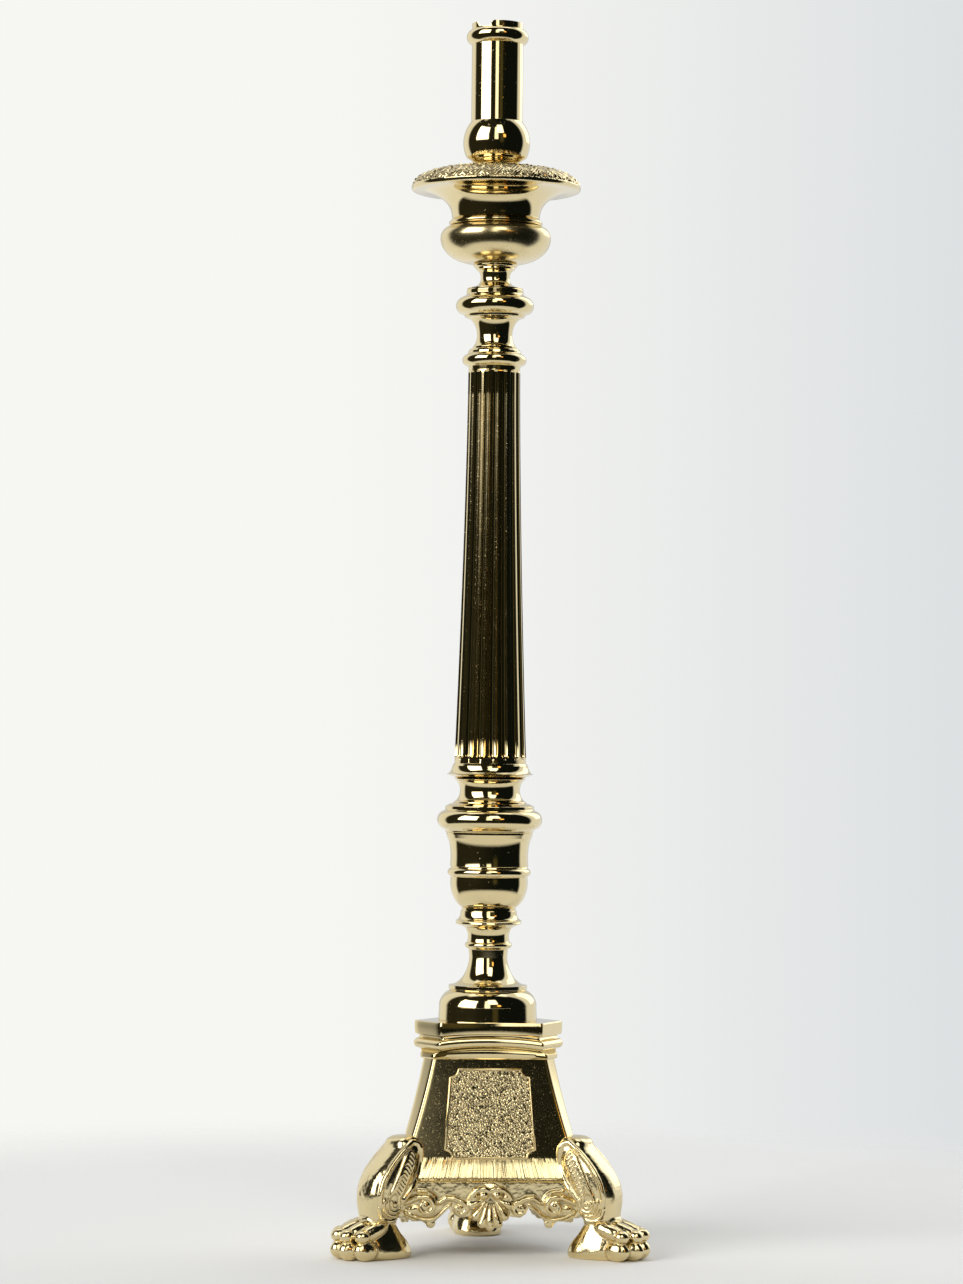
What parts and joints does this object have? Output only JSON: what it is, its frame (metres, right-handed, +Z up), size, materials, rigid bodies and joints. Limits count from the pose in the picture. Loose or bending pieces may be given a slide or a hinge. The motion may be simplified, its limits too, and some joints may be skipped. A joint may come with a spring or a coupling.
{
  "type": "altar candlestick",
  "caption": "Tall brass altar candlestick: tubular candle socket and drip pan on a turned, fluted stem, standing on a three-sided base with stippled panels, shell aprons and paw feet.",
  "frame": {"origin": "on the floor under the stem's axis, midway between the three paws", "axes": "+Z up along the stem's axis; -Y is the front, the way the front face of the base looks; +X to the right of someone facing that face"},
  "size_m": [0.2224, 0.1986, 0.858],
  "materials": {
    "polished_brass": "mirror polished and lacquered",
    "cast_brass": "cast, highlights polished, pale in the recesses",
    "steel": "plain steel"
  },
  "bodies": {
    "stand": {"capital_bell": "polished_brass", "capital_bowl": "polished_brass", "neck_spool": "polished_brass", "upper_knop": "polished_brass", "upper_spool": "polished_brass", "column_cap_ring": "polished_brass", "fluted_column": "polished_brass", "column_foot_collar": "polished_brass", "lower_spool": "polished_brass", "lower_knop": "polished_brass", "urn_drum": "polished_brass", "urn_bowl": "polished_brass", "stem_collar": "polished_brass", "pedestal_spool": "polished_brass", "pedestal_dome": "polished_brass", "base_cornice": "polished_brass", "base_body": "polished_brass", "leg_left": "cast_brass", "leg_right": "cast_brass", "leg_rear": "cast_brass", "apron_front": "cast_brass", "apron_right": "cast_brass", "apron_left": "cast_brass", "tie_rod": "steel", "stem_washer": "steel", "stem_nut": "steel", "base_washer": "steel", "base_nut": "steel", "leg_screws": "steel", "apron_screws": "steel"},
    "wax_pan": {"drip_pan": "polished_brass"},
    "socket": {"candle_cup": "polished_brass", "socket_ball": "polished_brass"}
  },
  "joints": [
    {"name": "pan_lift", "type": "slide", "parent": "stand", "child": "wax_pan", "axis": [0, 0, 1], "range_m": [0, 0.045]},
    {"name": "socket_lift", "type": "slide", "parent": "wax_pan", "child": "socket", "axis": [0, 0, 1], "range_m": [0, 0.04]}
  ]
}
